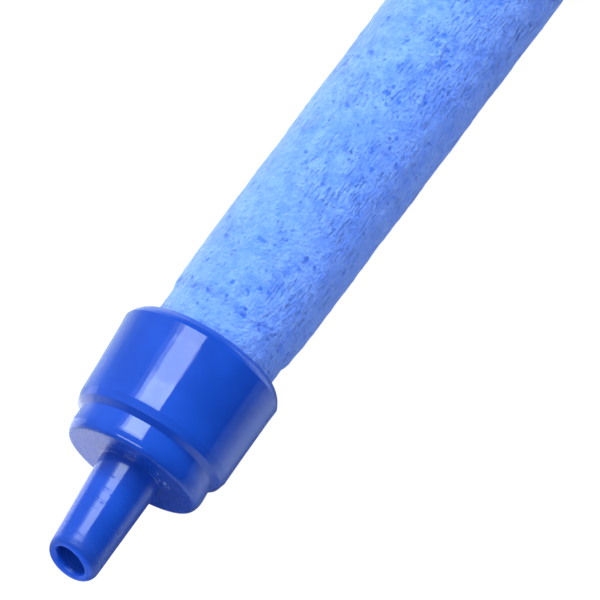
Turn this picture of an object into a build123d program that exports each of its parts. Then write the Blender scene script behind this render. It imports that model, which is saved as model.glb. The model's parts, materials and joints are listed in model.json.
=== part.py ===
from build123d import *
import math
import os

# Air stone for a tank or pond: a hollow bar of porous stone with a moulded plastic cap
# glued on each end. Air enters through the hose nipple of the inlet cap, fills the
# space inside the bar and leaves through the pores of the stone.
#
# Millimetres, +Z up. The bar lies along X on the rims of its two caps. The inlet cap
# is at the -X end. The origin is on the surface under the middle of the whole part.

# Porous stone bar
stone_radius = 6.0
stone_length = 142.0
stone_bore_radius = 2.5
spigot_radius = 5.62        # the end of the bar that the cap holds
shoulder_radius = 5.86      # where the rubbed-down end meets the step
socket_engagement = 6.0     # how far each end of the bar reaches into its cap
bare_spigot = 2.5           # narrow part that shows outside the cap
step_length = 0.8
rubbed_length = 2.8         # slight taper between the step and the full bar

# Caps: distances from the mouth along the cap's own axis
mouth_radius = 7.48
lip_round = 1.3
skirt_length = 8.85         # to the corner where the wide skirt ends
skirt_end_radius = 7.18
neck_start = 10.2
neck_radius = 6.38
cap_length = 12.45          # mouth to flat front face
front_round = 0.9
corner_round = 0.3
neck_root_round = 0.4
socket_radius = 6.0
socket_depth = 7.2
mouth_inner_round = 0.12
plenum_radius = 4.8
front_wall = 1.25

# Hose nipple of the inlet cap: distances from the flat front face
nipple_root_radius = 2.84
nipple_root_round = 0.15
land_start = 3.9            # short straight band that the hose seals on
land_end = 5.9
land_radius = 2.62
nipple_tip_radius = 2.36
nipple_length = 9.5         # to the middle of the sloping tip
air_bore_radius = 1.6
tip_slope = 17.0            # degrees between the tip's face and a square cut
tip_slope_roll = 25.0       # degrees from straight up to the tip's short side
tip_round = 0.55

# The inlet cap was glued on slightly askew
cap_yaw = 3.7
yaw_centre = 2.4            # inside the mouth, where the two axes cross

# Adhesive rings between the bar and the caps' sockets
bond_start = 0.5
bond_end = 5.2

# Shallow dimple in the middle of the end cap's face, where the plastic was fed in
gate_radius = 1.0
gate_depth = 0.25


def revolved(outline, rounds):
    """Turn a half section, given as (along, radius) points, about X.

    rounds maps a point of the outline to the radius that its corner gets.
    """
    section = make_face(Polyline(*outline, close=True))
    for corner, radius in rounds.items():
        vertex = section.vertices().sort_by_distance((*corner, 0))[0]
        section = fillet(vertex, radius)
    return revolve(section, Axis.X)


def stone_profile():
    """Solid bar with both ends stepped down to fit the caps."""
    end = stone_length / 2
    step_end = end - socket_engagement - bare_spigot
    step_start = step_end - step_length
    rub_start = step_start - rubbed_length
    half = [
        (rub_start, stone_radius),
        (step_start, shoulder_radius),
        (step_end, spigot_radius),
        (end, spigot_radius),
    ]
    mirrored = [(-along, radius) for along, radius in reversed(half)]
    return revolved([(-end, 0)] + mirrored + half + [(end, 0)], {})


def stone_tube():
    bore = Rot(0, 90, 0) * Cylinder(stone_bore_radius, stone_length)
    return stone_profile() - bore


def cap_skirt_outline():
    """Outer points that both caps share, from the mouth's inner edge to the front face."""
    return [
        (0, socket_radius),
        (0, mouth_radius),
        (skirt_length, skirt_end_radius),
        (neck_start, neck_radius),
        (cap_length, neck_radius),
    ]


def cap_inside_outline():
    """Inner points that both caps share, from the plenum's end back to the socket."""
    return [
        (cap_length - front_wall, plenum_radius),
        (socket_depth, plenum_radius),
        (socket_depth, socket_radius),
    ]


def cap_rounds():
    return {
        (0, mouth_radius): lip_round,
        (0, socket_radius): mouth_inner_round,
        (skirt_length, skirt_end_radius): corner_round,
        (neck_start, neck_radius): neck_root_round,
        (cap_length, neck_radius): front_round,
    }


def inlet_cap():
    """Cap with its mouth at x = 0 and its nipple pointing to +X."""
    uncut_tip = cap_length + nipple_length + nipple_tip_radius
    nipple = [
        (cap_length, nipple_root_radius),
        (cap_length + land_start, land_radius),
        (cap_length + land_end, land_radius),
        (uncut_tip, nipple_tip_radius),
        (uncut_tip, air_bore_radius),
        (cap_length - front_wall, air_bore_radius),
    ]
    rounds = cap_rounds() | {(cap_length, nipple_root_radius): nipple_root_round}
    whole = revolved(cap_skirt_outline() + nipple + cap_inside_outline(), rounds)

    slope = math.radians(tip_slope)
    roll = math.radians(tip_slope_roll)
    normal = (
        math.cos(slope),
        -math.sin(slope) * math.sin(roll),
        math.sin(slope) * math.cos(roll),
    )
    tip_plane = Plane(origin=(cap_length + nipple_length, 0, 0), z_dir=normal)
    cut = split(whole, bisect_by=tip_plane, keep=Keep.BOTTOM)
    tip_face = cut.faces().sort_by(Axis.X)[-1]
    outer_edge = tip_face.outer_wire().edges()
    return fillet(outer_edge, tip_round)


def end_cap():
    """Closed cap with its mouth at x = 0 and its flat face towards +X."""
    closed = [(cap_length, 0), (cap_length - front_wall, 0)]
    outline = cap_skirt_outline() + closed + cap_inside_outline()
    gate = Pos(cap_length - gate_depth / 2, 0, 0) * Rot(0, 90, 0) * Cylinder(gate_radius, gate_depth)
    return revolved(outline, cap_rounds()) - gate


def bond_blank():
    """What the adhesive would fill if the bar weren't there."""
    length = bond_end - bond_start
    return Pos(bond_start + length / 2, 0, 0) * Rot(0, 90, 0) * Cylinder(socket_radius, length)


def placed_pieces():
    """Every piece in place about the bar's own centre."""
    mouth = stone_length / 2 - socket_engagement
    at_inlet = Pos(-mouth - yaw_centre, 0, 0) * Rot(0, 0, 180 + cap_yaw) * Pos(-yaw_centre, 0, 0)
    at_end = Pos(mouth, 0, 0)
    bar = stone_profile()
    return {
        "stone_tube": stone_tube(),
        "inlet_cap": at_inlet * inlet_cap(),
        "end_cap": at_end * end_cap(),
        "inlet_bond": at_inlet * bond_blank() - bar,
        "end_bond": at_end * bond_blank() - bar,
    }


def base_shift(pieces):
    """Move that puts the origin under the middle of the whole part."""
    box = Compound(list(pieces.values())).bounding_box()
    middle = box.center()
    return Pos(-middle.X, -middle.Y, -box.min.Z)


pieces = placed_pieces()
to_base = base_shift(pieces)
os.makedirs("parts", exist_ok=True)
for name, piece in pieces.items():
    export_step(to_base * piece, f"parts/{name}.step")
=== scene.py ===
import json
import math

import bmesh
import bpy
import numpy as np
from mathutils import Matrix, Vector


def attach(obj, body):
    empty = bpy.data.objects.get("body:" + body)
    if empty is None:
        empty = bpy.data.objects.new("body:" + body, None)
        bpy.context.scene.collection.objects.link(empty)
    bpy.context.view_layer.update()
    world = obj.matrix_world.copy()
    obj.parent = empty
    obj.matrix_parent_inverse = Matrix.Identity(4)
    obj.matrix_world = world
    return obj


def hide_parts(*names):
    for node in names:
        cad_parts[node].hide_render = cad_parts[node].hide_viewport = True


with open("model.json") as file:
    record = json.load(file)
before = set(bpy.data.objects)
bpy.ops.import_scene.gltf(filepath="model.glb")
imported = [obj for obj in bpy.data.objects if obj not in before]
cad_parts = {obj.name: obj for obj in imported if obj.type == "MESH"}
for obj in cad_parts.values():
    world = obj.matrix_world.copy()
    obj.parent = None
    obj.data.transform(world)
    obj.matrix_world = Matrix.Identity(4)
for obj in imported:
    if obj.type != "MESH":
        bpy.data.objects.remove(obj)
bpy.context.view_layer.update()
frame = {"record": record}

# Lengths are in millimetres until a mesh is written, and every mesh is written in metres.
MM = 0.001

# Shape of both caps: distances from the mouth along the cap's own axis, and radii.
LIP_CENTRE = (3.0, 5.99)    # the rolled lip is part of an ellipse with these half axes
LIP_LENGTH = 2.95
LIP_WIDTH = 1.85
LIP_ARC = (178, 127)        # the part of the ellipse that the lip takes up, in degrees
MOUTH_START = 0.12          # the socket's edge, slightly further in than the lip's end
CREST = 1.25                # widest ring, where the lip meets the wall
CREST_RADIUS = 7.48
CREST_FADE = 0.95           # next to the crest the wall narrows faster, over this length
CREST_DROP = 0.07           # and by this much
WALL_BREAK = 6.2            # the wall gets a little straighter here
WALL_BREAK_RADIUS = 7.242
SKIRT_LENGTH = 8.85
SKIRT_END_RADIUS = 7.165
SLOPE_END = 9.55            # a gentle slope, then a steep one, lead down to the neck
SLOPE_END_RADIUS = 6.95
STEP_END = 10.05
STEP_FOOT = (0.07, 0.06)    # small fillet at the foot of the steep slope
NECK_RADIUS = 6.36
NECK_FRONT_RADIUS = 6.42    # the neck widens a little towards its front
CAP_LENGTH = 12.45
FRONT_DEPTH = 1.1           # rounding of the front edge, along and across the axis
FRONT_WIDTH = 0.5
FACE_RING_PITCH = 0.9       # faint turning marks on the flat face
FACE_RING_DEPTH = 0.004
FACE_SLACK = 0.12           # points this close to the flat face's plane belong to it
CAP_WAVE_SIZE = 6.0         # long, very shallow waves that every moulding has
CAP_WAVE_COUNT = 24
PINHOLE_RADIUS = 0.02       # left open on the axis of the end cap's face
SOCKET_RADIUS = 6.0
SOCKET_DEPTH = 7.2
PLENUM_RADIUS = 4.8
FRONT_WALL = 1.25
GATE_RADIUS = 1.0
GATE_DEPTH = 0.25

# Hose nipple: distances from the cap's flat face.
NIPPLE_ROOT_RADIUS = 2.85
LAND_MIDDLE = 4.9           # where the record's mount lies
TIP_RADIUS = 2.40           # where the rounding of the tip begins
NIPPLE_LENGTH = 9.52
ROOT_ROUND = 0.06
TIP_DEPTH = 0.74            # rounding of the tip's outer edge, along and across the axis
TIP_WIDTH = 0.6
MOUTH_DEPTH = 0.3           # rounding of its inner edge
AIR_BORE_RADIUS = 1.52
BORE_DRIFT = 0.1            # how far the bore has wandered sideways at the tip
TIP_SLOPE = math.radians(16.1)      # slant of the tip's outside, and where it is short
TIP_ROLL = math.radians(4.1)
MOUTH_SLOPE = math.radians(17.0)    # the same for the bore's mouth
MOUTH_ROLL = math.radians(38.0)
SLANT_START = 5.5           # the slant grows from here
SLANT_END = NIPPLE_LENGTH - 1.2
DRIFT_START = 3             # the sideways drift grows from here
TIP_START = CAP_LENGTH + NIPPLE_LENGTH - TIP_DEPTH
CRUMB_TURN = math.radians(54.0)     # where grit sticks to the face, from up
CRUMB_SPREAD = 0.6                  # radians to each side
CRUMB_DISTANCE = 1.4                # from the nipple's root
RUBBED_SLOPE = 0.2                  # how much duller the slope to the neck is, of 1
RUBBED_NIPPLE = 0.25                # and the nipple
RUBBED_TIP = 0.6                    # and the nipple's tip, on top of that

# Porous bar, measured from its middle.
BAR_RADIUS = 6.0
BAR_LENGTH = 142.0
BAR_BORE_RADIUS = 2.5
SPIGOT_RADIUS = 5.62
SHOULDER_RADIUS = 5.86
SOCKET_ENGAGEMENT = 6.0
BARE_SPIGOT = 2.5
STEP_WIDTH = 0.8
RUBBED_LENGTH = 2.8
PORE_CLUSTERS = 200
SCAR_PORES = 90             # torn-out grains along the step at each end
PORE_REACH = 2.2            # a pore is worked out this far from its middle, in lengths
FINE_SCALE = 1.5            # the mesh is finer round a pore that is made this much larger
FINE_MARGIN = 0.1           # and this much wider
UNSEEN_END = 1.0            # each end of the bar stays smooth for this length
SCRATCH_AND_SHADE_SIDE = math.radians(-46.0)    # the shaded side, with extra dark strokes that are part fine scratches and part painted shade; from up
SCRATCH_AND_SHADE_SPREAD = math.radians(20.0)
BAR_RELIEF = [              # height, size, number of waves and seed
    (0.034, 7.0, 30, 21),
    (0.030, 2.0, 40, 22),
    (0.024, 0.9, 60, 23),
]

# Adhesive, measured from the cap's mouth.
BOND_START = 0.5
BOND_END = 5.2
BOND_HOLLOW = 0.22          # how far each end sinks in between the bar and the cap
BOND_WANDER = 0.10          # how far it wanders on its way round
BOND_OVERLAP = 0.01         # how far it sinks into the bar, so that no gap shows

# Fineness of the meshes.
ARC_STEPS = 8
CAP_SPACING = 0.22
CAP_INSIDE_SPACING = 0.3
CAP_AROUND = 256
BAR_SPACING = 0.42
BORE_SPACING = 4.0          # long steps, because the bore is out of sight
BAR_AROUND = 108
BOND_ACROSS = 6
BOND_ALONG = 16
BOND_AROUND = 160

# Camera: a long lens looking down at the inlet end.
CAMERA_AZIMUTH = math.radians(-54.9)
CAMERA_ELEVATION = math.radians(69.8)
CAMERA_DISTANCE = 1200.0
CAMERA_LENS = 863.5
AIM_RIGHT = 14.12           # where the lens points, from the middle of the cap's face
AIM_UP = 14.27

# Lamps. Each softbox fills the given turns and slides of the cap wall's mirror image.
SOFTBOX_DISTANCE = 500
SOFTBOX_TINT = (0.86, 1.03, 1.08)
SOFTBOXES = [               # name, turns in degrees, slides and radiance
    ("key", (11.5, 43.5), (-235, -36), 4.1),
    ("key_edge", (11.5, 50), (-235, -36), 1.7),
    ("key_fringe", (11.5, 57), (-235, -36), 0.6),
    ("key_core", (11.5, 49), (-200, -116), 3.1),
    ("key_far", (11.5, 50), (-100, -60), 4.2),
    ("front_strip", (5, 50), (230, 330), 7.0),
]
MAIN_TURN = math.radians(38)
MAIN_SLIDE = -950
MAIN_DISTANCE = 1500
MAIN_SIZE = (420, 420)
MAIN_RADIANCE = 38.0
MAIN_TINT = (1.0, 1.14, 0.98)
CARD_SIZE = (11.0, 60.0)    # bright card that only shows in reflections
CARD_EDGE = 1.0             # it lies on the far side of the inlet cap
CARD_FORWARD = 2.5          # with its middle this far in front of the cap's face
CARD_HEIGHT = 0.3
CARD_TINT = (0.90, 0.91, 1.10)

# Floor and surroundings. A range is from low..high to bottom..top.
FLOOR_RADIUS = 7.0          # metres
# The floor's colours are painted darker away from the part, as painted falloff of its light, and
# darker near the part in reflections, as a painted shadow.
FLOOR_NEAR = (0.76, 0.79, 0.82)
FLOOR_FAR = (0.30, 0.34, 0.38)
FLOOR_PAINTED_FALLOFF = (8 * MM, 60 * MM)
FLOOR_PAINTED_SHADOW = (0.10, 0.13, 0.22)
FLOOR_PAINTED_SHADOW_FADE = (3 * MM, 20 * MM, 0.75, 0.0)
FLOOR_GLOW = 0.9            # how much of what the camera sees of the floor is its own glow
PALE = 1.1                  # brightness of the floor and the background to the camera
RANGE_SOCKETS = ("From Min", "From Max", "To Min", "To Max")
SKY_ACROSS = (-0.7, 0.8, 0.03, 0.42)
SKY_LENGTHWISE = (0.5, 0.85, 1.0, 0.3)
FILL_COLOUR = (0.84, 1.0, 1.42, 1)
FILL_STRENGTH = 0.4
WHITE = (1, 1, 1, 1)

# Colours of the stone.
STONE_BODY = (0.170, 0.320, 0.900)
STONE_PALE = (0.203, 0.362, 0.945)
STONE_MOTTLE = (0.102, 0.238, 0.870)
STONE_GRAIN = (0.128, 0.268, 0.890)
# dark strokes: part scratch marks, part painted shade of their relief
STROKE_AND_SHADE_BLUE = (0.050, 0.170, 0.700)
# dark specks and pores: part the grit's deeper blue, part painted shade in the pits
SMALL_MARK_AND_SHADE_BLUE = (0.045, 0.160, 0.660)
MARK_AND_SHADE_BLUE = (0.026, 0.135, 0.700)
PORE_AND_SHADE_BLUE = (0.024, 0.115, 0.640)
DUST = (0.85, 0.9, 1.0, 1)

# Colours of the plastic and the adhesive.
PLASTIC_DEEP = (0.0070, 0.054, 0.390)
PLASTIC_LIGHT = (0.0090, 0.063, 0.440)
PLASTIC_NICK = (0.002, 0.012, 0.12)
# paler blue on the nipple's rim: painted light shining through the thin plastic
PLASTIC_PAINTED_RIM_LIGHT = (0.004, 0.105, 0.80)
GRIT = (0.80, 0.88, 1.0)
GLOSSY_ROUGHNESS = 0.06
MATT_ROUGHNESS = 0.2        # added where the plastic is matt
WEAR_ROUGHNESS = 0.05       # added in worn patches
RUBBED_ROUGHNESS = 0.24     # added where it is rubbed
ADHESIVE_DEEP = (0.03, 0.10, 0.50)
ADHESIVE_LIGHT = (0.07, 0.19, 0.66)


def mount(name):
    """Position in millimetres and axis of one of the record's mounts."""
    found = next(m for m in frame["record"]["mounts"] if m["name"] == name)
    return np.array(found["pos_m"]) / MM, np.array(found["axis"])


def axes_along(axis):
    """Columns are the axis itself, the level direction across it, and up."""
    up = np.array([0.0, 0.0, 1.0])
    return np.column_stack([axis, np.cross(up, axis), up])


def camera_axes():
    """Directions from the subject to the camera, to the right and up in its view."""
    sin_a, cos_a = math.sin(CAMERA_AZIMUTH), math.cos(CAMERA_AZIMUTH)
    sin_e, cos_e = math.sin(CAMERA_ELEVATION), math.cos(CAMERA_ELEVATION)
    back = np.array([sin_a * cos_e, -cos_a * cos_e, sin_e])
    right = np.array([cos_a, sin_a, 0.0])
    up = np.array([-sin_a * sin_e, cos_a * sin_e, cos_e])
    return back, right, up


# Places of the pieces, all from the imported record.
nipple_land, inlet_axis = mount("hose_nipple")
bar_middle, bar_axis = mount("bar_clip")
inlet_face = nipple_land - LAND_MIDDLE * inlet_axis
inlet_mouth = inlet_face - CAP_LENGTH * inlet_axis
end_face = np.array([mount("end_face")[0][0], bar_middle[1], bar_middle[2]])
end_mouth = end_face - CAP_LENGTH * bar_axis
inlet_axes = axes_along(inlet_axis)
bar_axes = axes_along(bar_axis)


# ---------------------------------------------------------------- outlines and lathe

def arc(previous, corner, following, radius):
    """Points that round a corner between two straight runs."""
    previous, corner, following = (np.array(p, float) for p in (previous, corner, following))
    back = (previous - corner) / np.linalg.norm(previous - corner)
    ahead = (following - corner) / np.linalg.norm(following - corner)
    half = math.acos(np.clip(back @ ahead, -1, 1)) / 2
    reach = radius / math.tan(half)
    bisector = (back + ahead) / np.linalg.norm(back + ahead)
    centre = corner + bisector * reach / math.cos(half)
    start, stop = corner + back * reach - centre, corner + ahead * reach - centre
    turn = math.pi - 2 * half
    points = []
    for i in range(ARC_STEPS + 1):
        part = i / ARC_STEPS
        blend = (
            math.sin((1 - part) * turn) * start + math.sin(part * turn) * stop
        ) / math.sin(turn)
        points.append(centre + blend)
    return points


def outline(corners, spacing, closed):
    """Even points along an outline of (along, radius, rounding) corners."""
    count = len(corners)
    key_points = []
    for i, (along, radius, rounding) in enumerate(corners):
        inner = closed or 0 < i < count - 1
        if rounding and inner:
            before, after = corners[i - 1][:2], corners[(i + 1) % count][:2]
            key_points += arc(before, (along, radius), after, rounding)
        else:
            key_points.append(np.array([along, radius], float))
    ends = key_points[1:] + key_points[:1] if closed else key_points[1:]
    points = []
    for start, stop in zip(key_points, ends):
        pieces = max(1, math.ceil(np.linalg.norm(stop - start) / spacing))
        points += [start + (stop - start) * k / pieces for k in range(pieces)]
    if not closed:
        points.append(key_points[-1])
    return np.array(points)


def lathe_grid(section, around):
    """Along, radius and angle of every point, one row for each point of the section."""
    angle = np.arange(around) * 2 * math.pi / around
    along = np.repeat(section[:, :1], around, axis=1)
    radius = np.repeat(section[:, 1:], around, axis=1)
    return along, radius, np.repeat(angle[None, :], len(section), axis=0)


def lathe_faces(rows, around, closed):
    """Quads between neighbouring rows; the last row joins the first in a closed section."""
    row = np.arange(rows if closed else rows - 1)[:, None]
    column = np.arange(around)[None, :]
    following_row = (row + 1) % rows
    following_column = (column + 1) % around
    corners = [
        row * around + column,
        following_row * around + column,
        following_row * around + following_column,
        row * around + following_column,
    ]
    return np.stack(corners, axis=-1).reshape(-1, 4)


def placed(along, radius, angle, origin, axes):
    """Points in the part's frame; angle 0 is up and 90 degrees is across."""
    local = np.stack([along, radius * np.sin(angle), radius * np.cos(angle)], axis=-1)
    return local.reshape(-1, 3) @ axes.T + origin


def mesh_piece(name, points, faces, material, marks=None):
    """Smooth mesh object with one material and optional numbers on its points."""
    mesh = bpy.data.meshes.new(name)
    mesh.from_pydata((points * MM).tolist(), [], [list(map(int, f)) for f in faces])
    for mark, values in (marks or {}).items():
        attribute = mesh.attributes.new(mark, "FLOAT", "POINT")
        attribute.data.foreach_set("value", values.astype(np.float32).ravel())
    mesh.polygons.foreach_set("use_smooth", [True] * len(mesh.polygons))
    mesh.materials.append(material)
    mesh.update()
    turn_outward(mesh)
    piece = bpy.data.objects.new(name, mesh)
    bpy.context.scene.collection.objects.link(piece)
    return piece


def turn_outward(mesh):
    """Make a closed mesh's faces point out."""
    body = bmesh.new()
    body.from_mesh(mesh)
    bmesh.ops.recalc_face_normals(body, faces=body.faces)
    if body.calc_volume(signed=True) < 0:
        bmesh.ops.reverse_faces(body, faces=body.faces)
    body.to_mesh(mesh)
    body.free()


def waves(along, angle, radius, size, count, seed):
    """Smooth random relief on a cylinder, about -1 to 1, with bumps of about the given size."""
    rng = np.random.default_rng(seed)
    total = np.zeros_like(along)
    for _ in range(count):
        heading = rng.uniform(0, 2 * math.pi)
        wave_number = 2 * math.pi / (size * rng.uniform(0.75, 1.5))
        turns = round(wave_number * math.sin(heading) * radius)
        slope = wave_number * math.cos(heading)
        total += np.cos(slope * along + turns * angle + rng.uniform(0, 2 * math.pi))
    return total * math.sqrt(2 / count) / 2


# ---------------------------------------------------------------- materials

class Shader:
    """A new material and short ways to add nodes to it."""

    def __init__(self, name):
        self.material = bpy.data.materials.new(name)
        self.material.use_nodes = True
        self.tree = self.material.node_tree
        self.surface = self.tree.nodes["Principled BSDF"]

    def add(self, kind, inputs=None, **settings):
        """A node of the given kind; each input is linked to a socket or set to a value."""
        made = self.tree.nodes.new(kind)
        for key, value in settings.items():
            setattr(made, key, value)
        for key, value in (inputs or {}).items():
            if isinstance(value, bpy.types.NodeSocket):
                self.tree.links.new(value, made.inputs[key])
            else:
                made.inputs[key].default_value = value
        return made

    def noise(self, place, size, detail=2.0, rough=0.5):
        """Noise with features of about the given size in millimetres."""
        inputs = {"Vector": place, "Scale": 1 / (size * MM), "Detail": detail, "Roughness": rough}
        return self.add("ShaderNodeTexNoise", inputs).outputs["Fac"]

    def specks(self, place, size, share, radius):
        """Scattered spots, 1 inside; share of the cells that have one, radius in cells."""
        cells = self.add("ShaderNodeTexVoronoi", {"Vector": place, "Scale": 1 / (size * MM)})
        chance = self.add("ShaderNodeSeparateColor", {0: cells.outputs["Color"]})
        reach = self.ramp(chance.outputs[0], 1 - share, 1.0, 0.0, radius)
        depth = self.calculate("SUBTRACT", reach, cells.outputs["Distance"])
        strength = self.ramp(chance.outputs[1], 0.0, 1.0, 0.35, 1.0)
        return self.calculate("MULTIPLY", self.ramp(depth, 0.0, 0.45 * radius), strength)

    def ragged(self, place, size, shift):
        """Place pushed about at random, to break up round shapes."""
        inputs = {"Vector": place, "Scale": 1 / (size * MM), "Detail": 2.0}
        push = self.add("ShaderNodeTexNoise", inputs).outputs["Color"]
        inputs = {0: push, 1: (2 * shift * MM,) * 3, 2: (-shift * MM,) * 3}
        offset = self.add("ShaderNodeVectorMath", inputs, operation="MULTIPLY_ADD").outputs[0]
        return self.add("ShaderNodeVectorMath", {0: place, 1: offset}, operation="ADD").outputs[0]

    def mark(self, name):
        """Numbers stored on the mesh's points."""
        return self.add("ShaderNodeAttribute", attribute_name=name).outputs["Fac"]

    def place(self, stretch=(1, 1, 1)):
        """Position on the piece, squeezed along chosen axes."""
        here = self.add("ShaderNodeTexCoord").outputs["Object"]
        if stretch == (1, 1, 1):
            return here
        return self.add("ShaderNodeMapping", {"Vector": here, "Scale": stretch}).outputs["Vector"]

    def ramp(self, value, low, high, bottom=0.0, top=1.0):
        """Value mapped smoothly from low..high to bottom..top."""
        inputs = {"Value": value, 1: low, 2: high, 3: bottom, 4: top}
        made = self.add("ShaderNodeMapRange", inputs, interpolation_type="SMOOTHSTEP")
        return made.outputs["Result"]

    def mix(self, share, first, second):
        """Colour mixed from the first to the second."""
        made = self.add("ShaderNodeMix", {0: share}, data_type="RGBA")
        for socket, value in ((made.inputs[6], first), (made.inputs[7], second)):
            if isinstance(value, bpy.types.NodeSocket):
                self.tree.links.new(value, socket)
            else:
                socket.default_value = (*value, 1)
        return made.outputs[2]

    def calculate(self, operation, first, second):
        """Result of a sum on two numbers, each a socket or a value."""
        return self.add("ShaderNodeMath", {0: first, 1: second}, operation=operation).outputs[0]

    def bump(self, height, depth, normal=None):
        """Relief of the given depth in millimetres."""
        inputs = {"Height": height, "Distance": depth * MM, "Strength": 1.0}
        if normal is not None:
            inputs["Normal"] = normal
        return self.add("ShaderNodeBump", inputs).outputs["Normal"]

    def set(self, **values):
        """Sockets of the surface, by name with _ for a space."""
        for key, value in values.items():
            socket = self.surface.inputs[key.replace("_", " ")]
            if isinstance(value, bpy.types.NodeSocket):
                self.tree.links.new(value, socket)
            else:
                socket.default_value = value


def stone_material():
    """Sintered blue grit: pale grains, dark specks and pores whose colour is partly painted shade,
    a dusty sheen.
    """
    shader = Shader("porous_stone")
    place = shader.place()
    rough_place = shader.ragged(place, 0.18, 0.26)
    long_place = shader.place((0.22, 1, 1))

    blotch = shader.ramp(shader.noise(place, 5.0, 3.0), 0.35, 0.65)
    mottle = shader.ramp(shader.noise(place, 1.4, 4.0, 0.65), 0.30, 0.60)
    grain = shader.ramp(shader.noise(place, 0.42, 3.0, 0.75), 0.3, 0.7)
    body = shader.mix(blotch, STONE_BODY, STONE_PALE)
    body = shader.mix(mottle, STONE_MOTTLE, body)
    body = shader.mix(shader.ramp(grain, 0.0, 0.5), STONE_GRAIN, body)

    # Dark strokes in patches, with more of them on the shaded side: part scratch marks, part
    # painted shade of their relief.
    patches = shader.ramp(shader.noise(place, 3.6, 2.0), 0.46, 0.60)
    scratches_and_painted_shade = shader.ramp(shader.noise(place, 2.2, 2.0), 0.36, 0.56)
    scratches_and_painted_shade = shader.calculate("MULTIPLY", scratches_and_painted_shade, shader.mark("scratches_and_painted_shade"))
    patches = shader.calculate("MAXIMUM", patches, scratches_and_painted_shade)
    streaks = shader.noise(long_place, 0.22, 2.0, 0.7)
    strokes = shader.calculate("MULTIPLY", shader.ramp(streaks, 0.50, 0.66), patches)
    marks = shader.specks(rough_place, 0.88, 0.95, 0.36)
    small = shader.specks(rough_place, 0.5, 0.7, 0.36)
    pore = shader.mark("pore")
    body = shader.mix(shader.calculate("MULTIPLY", strokes, 0.8), body, STROKE_AND_SHADE_BLUE)
    # Specks and pores painted darker: part the grit's deeper blue, part painted shade in the pits.
    body = shader.mix(shader.ramp(small, 0.0, 0.7, 0.0, 0.65), body, SMALL_MARK_AND_SHADE_BLUE)
    body = shader.mix(shader.ramp(marks, 0.0, 0.7, 0.0, 0.85), body, MARK_AND_SHADE_BLUE)
    body = shader.mix(shader.ramp(pore, 0.10, 0.75, 0.0, 0.85), body, PORE_AND_SHADE_BLUE)

    normal = shader.bump(shader.noise(place, 0.8, 2.0), 0.19)
    normal = shader.bump(shader.noise(place, 0.32, 3.0, 0.65), 0.24, normal)
    normal = shader.bump(strokes, -0.06, normal)
    normal = shader.bump(shader.calculate("MULTIPLY", small, -1.0), 0.08, normal)
    normal = shader.bump(shader.calculate("MULTIPLY", marks, -1.0), 0.04, normal)
    shader.set(Base_Color=body, Roughness=0.95, Normal=normal, Specular_IOR_Level=0.2)
    shader.set(Sheen_Weight=0.55, Sheen_Roughness=0.5, Sheen_Tint=DUST)
    return shader.material


def plastic_material():
    """Glossy moulded royal blue with faint swirls, rubbed spots and fine ring marks."""
    shader = Shader("cap_plastic")
    place = shader.place()
    swirl = shader.ramp(shader.noise(place, 4.0, 3.0, 0.55), 0.35, 0.65)
    body = shader.mix(swirl, PLASTIC_DEEP, PLASTIC_LIGHT)
    nicks = shader.specks(place, 2.0, 0.5, 0.06)
    body = shader.mix(nicks, body, PLASTIC_NICK)
    crumbs = shader.specks(place, 0.42, 0.6, 0.42)
    crumbs = shader.calculate("MULTIPLY", crumbs, shader.mark("crumbs"))
    body = shader.mix(shader.ramp(crumbs, 0.05, 0.25), body, GRIT)
    # Painted light: the nipple's thin rim is painted paler, as light shining through it.
    painted_rim_light = shader.ramp(shader.mark("painted_rim_light"), 0.0, 1.0, 0.0, 0.7)
    body = shader.mix(painted_rim_light, body, PLASTIC_PAINTED_RIM_LIGHT)

    wear = shader.ramp(shader.noise(place, 1.3, 2.0, 0.5), 0.40, 0.75, 0.0, WEAR_ROUGHNESS)
    matt = shader.mark("matt")
    gloss = shader.calculate("MULTIPLY_ADD", matt, MATT_ROUGHNESS)
    gloss.node.inputs[2].default_value = GLOSSY_ROUGHNESS
    gloss = shader.calculate("ADD", gloss, wear)
    rubbed = shader.ramp(shader.mark("rubbed"), 0.0, 1.0, 0.0, RUBBED_ROUGHNESS)
    gloss = shader.calculate("ADD", gloss, rubbed)

    orange_peel = shader.noise(place, 1.6, 2.0)
    scuffs = shader.noise(shader.place((0.15, 1, 1)), 0.25, 2.0)
    scuffs = shader.calculate("MULTIPLY", scuffs, shader.calculate("SUBTRACT", 1.0, matt))
    rings = shader.ramp(shader.noise(shader.place((1, 0.08, 0.08)), 0.24, 1.0), 0.57, 0.66)
    rings = shader.calculate("MULTIPLY", rings, shader.mark("tube"))
    normal = shader.bump(orange_peel, 0.008)
    normal = shader.bump(scuffs, 0.002, normal)
    normal = shader.bump(rings, -0.012, normal)
    normal = shader.bump(crumbs, 0.03, normal)
    shader.set(Base_Color=body, Roughness=gloss, Normal=normal, IOR=1.5)
    return shader.material


def adhesive_material():
    """Cured glue, tinted by the grit, with small bubbles."""
    shader = Shader("adhesive")
    place = shader.place()
    cloud = shader.ramp(shader.noise(place, 1.2, 3.0), 0.3, 0.7)
    body = shader.mix(cloud, ADHESIVE_DEEP, ADHESIVE_LIGHT)
    gloss = shader.ramp(shader.noise(place, 0.5, 2.0), 0.3, 0.7, 0.25, 0.45)
    normal = shader.bump(shader.noise(place, 0.45, 2.0), 0.05)
    shader.set(Base_Color=body, Roughness=gloss, Normal=normal)
    return shader.material


# ---------------------------------------------------------------- caps

def part_ellipse(centre, half_length, half_width, start, stop, steps):
    """Sharp corners along an ellipse about centre, by angles in degrees from the axis."""
    turns = np.linspace(math.radians(start), math.radians(stop), steps)
    return [
        (centre[0] + half_length * math.cos(t), centre[1] + half_width * math.sin(t), 0)
        for t in turns
    ]


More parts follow.
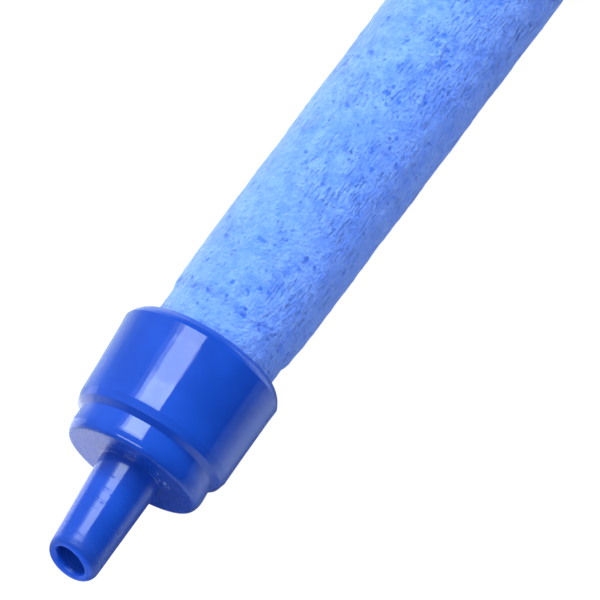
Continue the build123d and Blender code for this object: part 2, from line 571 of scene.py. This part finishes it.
def cap_outside():
    """Corners of both caps' outside, from the mouth to the edge of the flat face.

    Each is (along, radius, rounding), like every corner below.
    """
    front_centre = (CAP_LENGTH - FRONT_DEPTH, NECK_FRONT_RADIUS - FRONT_WIDTH)
    return [
        (MOUTH_START, SOCKET_RADIUS, 0.03),
        *part_ellipse(LIP_CENTRE, LIP_LENGTH, LIP_WIDTH, *LIP_ARC, 18),
        (CREST, CREST_RADIUS, 0.02),
        (CREST + CREST_FADE, CREST_RADIUS - CREST_DROP, 12.0),
        (WALL_BREAK, WALL_BREAK_RADIUS, 60.0),
        (SKIRT_LENGTH, SKIRT_END_RADIUS, 0.12),
        (SLOPE_END, SLOPE_END_RADIUS, 0.12),
        (STEP_END - STEP_FOOT[0], NECK_RADIUS + STEP_FOOT[1], 0.1),
        (STEP_END, NECK_RADIUS, 0.05),
        *part_ellipse(front_centre, FRONT_DEPTH, FRONT_WIDTH, 90, 0, 16),
    ]


def cap_inside():
    """Corners of both caps' inside, from the front wall back to the socket."""
    return [
        (CAP_LENGTH - FRONT_WALL, PLENUM_RADIUS, 0.3),
        (SOCKET_DEPTH, PLENUM_RADIUS, 0.15),
        (SOCKET_DEPTH, SOCKET_RADIUS, 0.15),
    ]


def nipple():
    """Corners of the nipple, out along its outside and back through its bore."""
    tip = CAP_LENGTH + NIPPLE_LENGTH
    rim = TIP_RADIUS - TIP_WIDTH
    return [
        (CAP_LENGTH, NIPPLE_ROOT_RADIUS, ROOT_ROUND),
        *part_ellipse((tip - TIP_DEPTH, rim), TIP_DEPTH, TIP_WIDTH, 86.3, 0, 14),
        *part_ellipse((tip - MOUTH_DEPTH, rim), MOUTH_DEPTH, AIR_BORE_RADIUS - rim, 15, 90, 7),
        (CAP_LENGTH - FRONT_WALL, AIR_BORE_RADIUS, 0.1),
    ]


def smooth_step(value):
    """0 below 0 and 1 above 1, with an even curve between."""
    value = np.clip(value, 0, 1)
    return value * value * (3 - 2 * value)


def oblique_tip(along, radius, angle):
    """Slide the last stretch of the nipple so that its end is cut at a slant."""
    start = CAP_LENGTH + SLANT_START
    share = smooth_step((along - start) / (SLANT_END - SLANT_START))
    outside = radius * np.cos(angle + TIP_ROLL) * math.tan(TIP_SLOPE)
    mouth = radius * np.cos(angle + MOUTH_ROLL) * math.tan(MOUTH_SLOPE)
    return along - share * (outside + (mouth - outside) * mouth_share(radius))


def mouth_share(radius):
    """1 at the bore and 0 at the outside of the tip."""
    return 1 - smooth_step((radius - AIR_BORE_RADIUS) / (TIP_RADIUS - AIR_BORE_RADIUS - 0.1))


def tip_drift(along, radius):
    """Sideways shift of the bore and the rim round it, growing towards the tip."""
    reach = smooth_step((along - CAP_LENGTH - DRIFT_START) / (NIPPLE_LENGTH - DRIFT_START))
    return BORE_DRIFT * reach * mouth_share(radius)


def inlet_cap(material):
    """Cap with the nipple, its mouth round the bar."""
    section = outline(cap_outside() + nipple() + cap_inside(), CAP_SPACING, closed=True)
    along, radius, angle = lathe_grid(section, CAP_AROUND)
    swell = waves(along, angle, CREST_RADIUS, CAP_WAVE_SIZE, CAP_WAVE_COUNT, seed=3)
    radius = radius + 0.004 * swell
    rings = np.sin(radius * 2 * math.pi / FACE_RING_PITCH)
    along = along + FACE_RING_DEPTH * matt_face(along, radius) * rings
    slanted = oblique_tip(along, radius, angle)
    points = placed(slanted, radius, angle, inlet_mouth, inlet_axes)
    points -= np.outer(tip_drift(along, radius).ravel(), inlet_axes[:, 1])
    faces = lathe_faces(*along.shape, closed=True)
    marks = {
        "matt": matt_face(along, radius),
        "tube": smooth_step(along - CAP_LENGTH - 1) * (radius > AIR_BORE_RADIUS + 0.3),
        "rubbed": rubbed_places(along),
        "painted_rim_light": painted_rim_light_share(along, radius),
        "crumbs": crumb_patch(along, radius, angle),
    }
    return mesh_piece("inlet_cap_moulding", points, faces, material, marks)


def matt_face(along, radius):
    """1 on the flat front face, which has a duller finish than the rest."""
    on_face = np.abs(along - CAP_LENGTH) < FACE_SLACK
    inside_edge = radius < NECK_FRONT_RADIUS - FRONT_WIDTH * 0.5
    return (on_face & inside_edge & (radius > NIPPLE_ROOT_RADIUS + 0.1)).astype(float)


def rubbed_places(along):
    """Duller places, from 0 to 1: the slope down to the neck and the nipple, most at its tip."""
    slope = smooth_step((along - SKIRT_LENGTH) / 0.3) * (along < STEP_END)
    tip = smooth_step((along - TIP_START + 1.6) / 1.8)
    nipple_wall = along > CAP_LENGTH + 0.3
    return RUBBED_SLOPE * slope + RUBBED_NIPPLE * nipple_wall + RUBBED_TIP * tip


def painted_rim_light_share(along, radius):
    """1 on the rim of the nipple, where a paler blue is painted as light shining through the
    plastic's narrow edge.
    """
    tip = CAP_LENGTH + NIPPLE_LENGTH
    outside = smooth_step((along - tip + 0.6) / 0.45)
    outside = outside * smooth_step((TIP_RADIUS - 0.2 - radius) / 0.3)
    in_bore = radius < AIR_BORE_RADIUS + 0.03
    return np.where(in_bore, smooth_step((along - tip + 0.6) / 0.4), outside)


def crumb_patch(along, radius, angle):
    """Where pale crumbs of grit stick: on the face, on one side of the nipple's root."""
    on_face = np.abs(along - CAP_LENGTH) < 0.3
    near = 1 - smooth_step(np.abs(radius - NIPPLE_ROOT_RADIUS - CRUMB_DISTANCE) / 1.3)
    turn = np.abs((angle - CRUMB_TURN + math.pi) % (2 * math.pi) - math.pi)
    return on_face * near * (1 - smooth_step(turn / CRUMB_SPREAD))


def end_cap(material):
    """Cap without a nipple, closed apart from a pinhole too small to see."""
    gate = [
        (CAP_LENGTH, GATE_RADIUS + 0.05, 0.05),
        (CAP_LENGTH - GATE_DEPTH, GATE_RADIUS, 0.1),
        (CAP_LENGTH - GATE_DEPTH, PINHOLE_RADIUS, 0),
    ]
    back = [(CAP_LENGTH - FRONT_WALL, PINHOLE_RADIUS, 0)]
    outside = outline(cap_outside() + gate, CAP_SPACING, closed=False)
    inside = outline(back + cap_inside() + cap_outside()[:1], CAP_INSIDE_SPACING, closed=False)
    section = np.vstack([outside, inside])
    along, radius, angle = lathe_grid(section, CAP_AROUND)
    swell = waves(along, angle, CREST_RADIUS, CAP_WAVE_SIZE, CAP_WAVE_COUNT, seed=5)
    radius = radius * (1 + 0.0006 * swell)
    points = placed(along, radius, angle, end_mouth, bar_axes)
    faces = lathe_faces(*along.shape, closed=False)
    # Only the middle of this cap's face is matt.
    marks = {"matt": matt_face(along, radius + NIPPLE_ROOT_RADIUS)}
    return mesh_piece("end_cap_moulding", points, faces, material, marks)


# ---------------------------------------------------------------- bar

def bar_corners():
    """Corners of the bar's outside and end faces, from one end of its bore to the other."""
    end = BAR_LENGTH / 2
    step_end = end - SOCKET_ENGAGEMENT - BARE_SPIGOT
    step_start = step_end - STEP_WIDTH
    rub_start = step_start - RUBBED_LENGTH
    half = [
        (rub_start, BAR_RADIUS, 6.0),
        (step_start, SHOULDER_RADIUS, 0.6),
        (step_end, SPIGOT_RADIUS, 0.5),
        (end, SPIGOT_RADIUS, 0.3),
        (end, BAR_BORE_RADIUS, 0.2),
    ]
    mirrored = [(-along, radius, rounding) for along, radius, rounding in reversed(half)]
    return mirrored + half


def bar_section():
    """Closed outline of the bar."""
    corners = bar_corners()
    outside = outline(corners, BAR_SPACING, closed=False)
    bore = outline([corners[-1], corners[0]], BORE_SPACING, closed=False)
    return np.vstack([outside, bore[1:-1]])


def pore_list(seed):
    """Pores as (along, angle, half length, half width, slant, depth), in loose clusters."""
    rng = np.random.default_rng(seed)
    reach = BAR_LENGTH / 2 - SOCKET_ENGAGEMENT
    pores = []
    for _ in range(PORE_CLUSTERS):
        along, angle = rng.uniform(-reach, reach), rng.uniform(0, 2 * math.pi)
        heading = rng.uniform(-0.9, 0.9)
        for _ in range(rng.choice([1, 1, 2, 2, 3, 5])):
            pores.append(one_pore(rng, along, angle, heading))
            along += rng.normal(0, 0.5)
            angle += rng.normal(0, 0.4) / BAR_RADIUS
    scar = BAR_LENGTH / 2 - SOCKET_ENGAGEMENT - BARE_SPIGOT - STEP_WIDTH / 2
    for end in (-1, 1):
        for _ in range(SCAR_PORES):
            along = end * (scar + rng.normal(0, 0.35))
            pores.append(one_pore(rng, along, rng.uniform(0, 2 * math.pi), math.pi / 2))
    return pores


def one_pore(rng, along, angle, heading):
    """A pore of random size that points roughly along the given heading."""
    length = rng.uniform(0.11, 0.24) * rng.uniform(0.8, 1.4)
    width = length * rng.uniform(0.4, 0.9)
    depth = width * rng.uniform(0.2, 0.5)
    return along, angle, length, width, heading + rng.normal(0, 0.5), depth


def pore_field(along, angle, pores, wobble=0):
    """How deep inside a pore each point is, from 0 to 1, and the pit's depth there."""
    inside = np.zeros_like(along)
    pit = np.zeros_like(along)
    order = np.argsort(along)
    sorted_along = along[order]
    wobble = np.broadcast_to(wobble, along.shape)
    for centre, turn, length, width, slant, depth in pores:
        reach = PORE_REACH * length
        low, high = np.searchsorted(sorted_along, [centre - reach, centre + reach])
        near = order[low:high]
        across = (angle[near] - turn + math.pi) % (2 * math.pi) - math.pi
        u, v = along[near] - centre, across * BAR_RADIUS
        first = (u * math.cos(slant) + v * math.sin(slant)) / length
        second = (v * math.cos(slant) - u * math.sin(slant)) / width
        distance = (first ** 2 + second ** 2) * (1 + wobble[near])
        level = np.exp(-0.9 * distance ** 1.2)
        strength = min(1.0, 0.35 + depth / 0.12)
        inside[near] = np.maximum(inside[near], level * strength)
        pit[near] = np.maximum(pit[near], level * depth)
    return inside, pit


def refine_near(points, faces, along, angle, outer, pores):
    """Split the faces round each pore so that its rim has enough points."""
    wide_pores = []
    for centre, turn, length, width, slant, depth in pores:
        length = FINE_SCALE * length + FINE_MARGIN
        width = FINE_SCALE * width + FINE_MARGIN
        wide_pores.append((centre, turn, length, width, slant, depth))
    inside, _ = pore_field(along, angle, wide_pores)
    chosen = outer & (inside > 0.25)
    body = bmesh.new()
    vertices = [body.verts.new(p) for p in points]
    for face in faces:
        body.faces.new([vertices[i] for i in face])
    body.verts.index_update()
    edges = set()
    for face in body.faces:
        if any(chosen[v.index] for v in face.verts):
            edges.update(face.edges)
    edges = sorted(edges, key=lambda e: (e.verts[0].index, e.verts[1].index))
    bmesh.ops.subdivide_edges(body, edges=edges, cuts=2, use_grid_fill=True)
    body.verts.index_update()
    split_points = np.array([v.co for v in body.verts])
    split_faces = [[v.index for v in f.verts] for f in body.faces]
    body.free()
    return split_points, split_faces


def seen_outside(along, radius):
    """True for points of the bar's outside, apart from its very ends."""
    return (radius > BAR_BORE_RADIUS + 2) & (np.abs(along) < BAR_LENGTH / 2 - UNSEEN_END)


def smooth_radius(section, along):
    """Radius of the bar's outside, before any relief, at each distance along it."""
    outside = section[section[:, 1] > BAR_BORE_RADIUS + 2]
    outside = outside[np.argsort(outside[:, 0])]
    return np.interp(along, outside[:, 0], outside[:, 1])


def stone_bar(material):
    """The bar, with relief and pores all over its outside."""
    section = bar_section()
    along, radius, angle = (grid.ravel() for grid in lathe_grid(section, BAR_AROUND))
    points = np.column_stack([along, radius * np.sin(angle), radius * np.cos(angle)])
    faces = lathe_faces(len(section), BAR_AROUND, closed=True)
    pores = pore_list(seed=11)
    points, faces = refine_near(points, faces, along, angle, seen_outside(along, radius), pores)

    along = points[:, 0]
    angle = np.arctan2(points[:, 1], points[:, 2])
    radius = np.hypot(points[:, 1], points[:, 2])
    outer = seen_outside(along, radius)
    relief = np.zeros_like(along)
    for height, size, count, seed in BAR_RELIEF:
        relief += height * waves(along, angle, BAR_RADIUS, size, count, seed)
    wobble = np.clip(0.6 * waves(along, angle, BAR_RADIUS, 0.35, 40, seed=24), -0.6, 1.5)
    inside, pit = pore_field(along, angle, pores, wobble)
    radius = np.where(outer, smooth_radius(section, along) + relief - pit, radius)
    points = placed(along, radius, angle, bar_middle, bar_axes)
    marks = {
        "pore": np.where(outer, inside, 0),
        "scratches_and_painted_shade": np.exp(-((angle - SCRATCH_AND_SHADE_SIDE) / SCRATCH_AND_SHADE_SPREAD) ** 2),
    }
    return mesh_piece("stone_bar", points, faces, material, marks)


# ---------------------------------------------------------------- adhesive

def distance_to_bar(along, angle, origin, axes):
    """Radius, about a cap's axis, at which the surface of the bar's spigot is met."""
    start = origin + np.outer(along, axes[:, 0]) - bar_middle
    ray = np.outer(np.sin(angle), axes[:, 1]) + np.outer(np.cos(angle), axes[:, 2])
    start = start - np.outer(start @ bar_axis, bar_axis)
    ray = ray - np.outer(ray @ bar_axis, bar_axis)
    a = (ray * ray).sum(1)
    b = 2 * (ray * start).sum(1)
    c = (start * start).sum(1) - SPIGOT_RADIUS ** 2
    return (-b + np.sqrt(b * b - 4 * a * c)) / (2 * a)


def bond(name, origin, axes, seed, material):
    """Ring of adhesive between the bar and a cap's socket, with hollow end faces."""
    angle = np.arange(BOND_AROUND) * 2 * math.pi / BOND_AROUND
    loop = [(k / BOND_ACROSS, 0.0) for k in range(BOND_ACROSS)]
    loop += [(1.0, k / BOND_ALONG) for k in range(BOND_ALONG)]
    loop += [(1 - k / BOND_ACROSS, 1.0) for k in range(BOND_ACROSS)]
    loop += [(0.0, 1 - k / BOND_ALONG) for k in range(BOND_ALONG)]
    rows = []
    for across, length in loop:
        hollow = BOND_HOLLOW * (1 - (2 * across - 1) ** 2) * (1 - 2 * length)
        spread = np.full(BOND_AROUND, 9.0 * length)
        wander = BOND_WANDER * waves(spread, angle, SOCKET_RADIUS, 6.0, 20, seed)
        along = BOND_START + (BOND_END - BOND_START) * length + hollow + wander * (1 - 2 * length)
        inner = distance_to_bar(along, angle, origin, axes) - BOND_OVERLAP
        radius = inner + (SOCKET_RADIUS - inner) * across
        rows.append(placed(along, radius, angle, origin, axes))
    faces = lathe_faces(len(loop), BOND_AROUND, closed=True)
    return mesh_piece(name, np.vstack(rows), faces, material)


# ---------------------------------------------------------------- camera, floor and light

def look_at(thing, place, towards, side=None):
    """Put an object at a place in millimetres, with its -Z facing the target.

    side is roughly where its +X points; without it, +X is level.
    """
    back = np.array(place, float) - np.array(towards, float)
    back /= np.linalg.norm(back)
    side = np.cross([0, 0, 1], back) if side is None else np.array(side, float)
    side = side - back * (side @ back)
    side /= np.linalg.norm(side)
    turn = np.column_stack([side, np.cross(back, side), back])
    move = Matrix.Translation(Vector(np.array(place) * MM))
    thing.matrix_world = move @ Matrix(turn.tolist()).to_4x4()


def add_camera():
    """Long lens, with the middle of its view set by the two AIM distances."""
    back, right, up = camera_axes()
    aim = inlet_face + AIM_RIGHT * right + AIM_UP * up
    data = bpy.data.cameras.new("camera")
    data.lens = CAMERA_LENS
    data.sensor_width = 36.0
    data.clip_end = 100.0
    camera = bpy.data.objects.new("camera", data)
    bpy.context.scene.collection.objects.link(camera)
    look_at(camera, aim + CAMERA_DISTANCE * back, aim, right)
    bpy.context.scene.camera = camera


def add_floor():
    """Large pale disc that the part lies on.

    It looks evenly pale to the camera. Its colour is painted darker to the sides, as painted
    falloff of its light on the part, and in reflections it is painted darker close to the
    part, as a painted shadow.
    """
    shader = Shader("pale_floor")
    place = shader.add("ShaderNodeSeparateXYZ", {0: shader.place()})
    aside = shader.calculate("ABSOLUTE", place.outputs["Y"], 0.0)
    # Painted falloff: the floor's colour darkens to the sides.
    floor_colour_with_painted_light = shader.mix(shader.ramp(aside, *FLOOR_PAINTED_FALLOFF), FLOOR_NEAR, FLOOR_FAR)
    path = shader.add("ShaderNodeLightPath")
    # Painted shadow: in reflections the floor is darker close to the part.
    painted_shadow = shader.ramp(aside, *FLOOR_PAINTED_SHADOW_FADE)
    painted_shadow = shader.calculate("MULTIPLY", path.outputs["Is Glossy Ray"], painted_shadow)
    floor_colour_with_painted_light = shader.mix(painted_shadow, floor_colour_with_painted_light, FLOOR_PAINTED_SHADOW)
    shader.set(Base_Color=floor_colour_with_painted_light, Roughness=0.9, Specular_IOR_Level=0.1)
    glow = shader.add("ShaderNodeEmission", {"Color": WHITE, "Strength": PALE})
    share = shader.calculate("MULTIPLY", path.outputs["Is Camera Ray"], FLOOR_GLOW)
    mixed = shader.add("ShaderNodeMixShader", {0: share})
    output = shader.tree.nodes["Material Output"]
    shader.tree.links.new(shader.surface.outputs["BSDF"], mixed.inputs[1])
    shader.tree.links.new(glow.outputs["Emission"], mixed.inputs[2])
    shader.tree.links.new(mixed.outputs["Shader"], output.inputs["Surface"])
    body = bmesh.new()
    bmesh.ops.create_circle(body, cap_ends=True, segments=96, radius=FLOOR_RADIUS)
    mesh = bpy.data.meshes.new("floor")
    body.to_mesh(mesh)
    body.free()
    mesh.materials.append(shader.material)
    floor = bpy.data.objects.new("floor", mesh)
    bpy.context.scene.collection.objects.link(floor)


def add_light(name, place, towards, size, radiance, colour=(1, 1, 1), side=None, glossy=True):
    """Rectangular lamp of the given radiance; size and place in millimetres."""
    data = bpy.data.lights.new(name, "AREA")
    data.shape = "RECTANGLE"
    data.size, data.size_y = size[0] * MM, size[1] * MM
    data.energy = radiance * math.pi * data.size * data.size_y
    data.color = colour
    lamp = bpy.data.objects.new(name, data)
    bpy.context.scene.collection.objects.link(lamp)
    look_at(lamp, place, towards, side)
    lamp.visible_camera = False
    lamp.visible_glossy = glossy
    return lamp


def reflected_place(turn, slide, distance):
    """A place seen mirrored in the cap's wall.

    turn is the angle about the cap's axis, from the camera's side towards its left, and
    slide is how far along the axis the place lies.
    """
    back, right, _ = camera_axes()
    facing = back - inlet_axis * (back @ inlet_axis)
    facing /= np.linalg.norm(facing)
    left = np.cross(facing, inlet_axis)
    left *= -np.sign(left @ right)
    outward = math.cos(turn) * facing + math.sin(turn) * left
    centre = inlet_mouth + inlet_axis * CAP_LENGTH / 2
    return centre + distance * outward + slide * inlet_axis, centre + slide * inlet_axis


def add_softbox(name, turns, slides, radiance):
    """Lamp whose mirror image on the cap's wall fills the given turns and slides."""
    low, high = (math.radians(t) for t in turns)
    middle = (low + high) / 2
    place, towards = reflected_place(middle, sum(slides) / 2, SOFTBOX_DISTANCE)
    width = 2 * SOFTBOX_DISTANCE * math.tan((high - low) / 2)
    size = (slides[1] - slides[0], width)
    add_light(name, place, towards, size, radiance, SOFTBOX_TINT, inlet_axis)


def add_lights():
    """Softboxes for the highlights, a main lamp for the shading and the bright card."""
    for name, turns, slides, radiance in SOFTBOXES:
        add_softbox(name, turns, slides, radiance)
    forward, aside = inlet_face[0] - CARD_FORWARD, CARD_EDGE + CARD_SIZE[1] / 2
    card = np.array([forward, aside, CARD_HEIGHT])
    glow = add_light("card", card, card + [0, 0, 1], CARD_SIZE, 1.0, CARD_TINT, (1, 0, 0))
    glow.visible_diffuse = False
    place, _ = reflected_place(MAIN_TURN, MAIN_SLIDE, MAIN_DISTANCE)
    add_light("main", place, inlet_mouth, MAIN_SIZE, MAIN_RADIANCE, MAIN_TINT, glossy=False)


def add_world():
    """Pale to the camera and an even fill, but in reflections darker on one side and
    towards both ends of the bar.
    """
    world = bpy.data.worlds.new("studio")
    world.use_nodes = True
    tree = world.node_tree
    path = tree.nodes.new("ShaderNodeLightPath")
    heading = tree.nodes.new("ShaderNodeTexCoord")
    parts = tree.nodes.new("ShaderNodeSeparateXYZ")
    level = tree.nodes.new("ShaderNodeMapRange")
    for name, value in zip(RANGE_SOCKETS, SKY_ACROSS):
        level.inputs[name].default_value = value
    lengthwise = tree.nodes.new("ShaderNodeMath")
    lengthwise.operation = "ABSOLUTE"
    dimmed = tree.nodes.new("ShaderNodeMapRange")
    for name, value in zip(RANGE_SOCKETS, SKY_LENGTHWISE):
        dimmed.inputs[name].default_value = value
    strength = tree.nodes.new("ShaderNodeMath")
    strength.operation = "MULTIPLY"
    mirrored, even, pale = (tree.nodes.new("ShaderNodeBackground") for _ in range(3))
    even.inputs["Strength"].default_value = FILL_STRENGTH
    pale.inputs["Strength"].default_value = PALE
    even.inputs["Color"].default_value = FILL_COLOUR
    for background in (mirrored, pale):
        background.inputs["Color"].default_value = WHITE
    reflected, seen = (tree.nodes.new("ShaderNodeMixShader") for _ in range(2))
    tree.links.new(heading.outputs["Generated"], parts.inputs[0])
    tree.links.new(parts.outputs["Y"], level.inputs["Value"])
    tree.links.new(parts.outputs["X"], lengthwise.inputs[0])
    tree.links.new(lengthwise.outputs[0], dimmed.inputs["Value"])
    tree.links.new(level.outputs["Result"], strength.inputs[0])
    tree.links.new(dimmed.outputs["Result"], strength.inputs[1])
    tree.links.new(strength.outputs[0], mirrored.inputs["Strength"])
    tree.links.new(path.outputs["Is Glossy Ray"], reflected.inputs[0])
    tree.links.new(even.outputs[0], reflected.inputs[1])
    tree.links.new(mirrored.outputs[0], reflected.inputs[2])
    tree.links.new(path.outputs["Is Camera Ray"], seen.inputs[0])
    tree.links.new(reflected.outputs[0], seen.inputs[1])
    tree.links.new(pale.outputs[0], seen.inputs[2])
    tree.links.new(seen.outputs[0], tree.nodes["World Output"].inputs["Surface"])
    bpy.context.scene.world = world
    bpy.context.scene.view_settings.view_transform = "Standard"


# ---------------------------------------------------------------- the part

add_camera()
add_floor()
add_lights()
add_world()

stone_look = stone_material()
plastic_look = plastic_material()
adhesive_look = adhesive_material()

pieces = [
    (stone_bar(stone_look), "stone_tube", "porous_stone"),
    (inlet_cap(plastic_look), "inlet_cap", "cap_plastic"),
    (end_cap(plastic_look), "end_cap", "cap_plastic"),
    (bond("inlet_bond_ring", inlet_mouth, inlet_axes, 31, adhesive_look), "inlet_bond", "adhesive"),
    (bond("end_bond_ring", end_mouth, bar_axes, 32, adhesive_look), "end_bond", "adhesive"),
]
for piece, node_name, slot_name in pieces:
    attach(piece, "root")
    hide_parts(node_name)
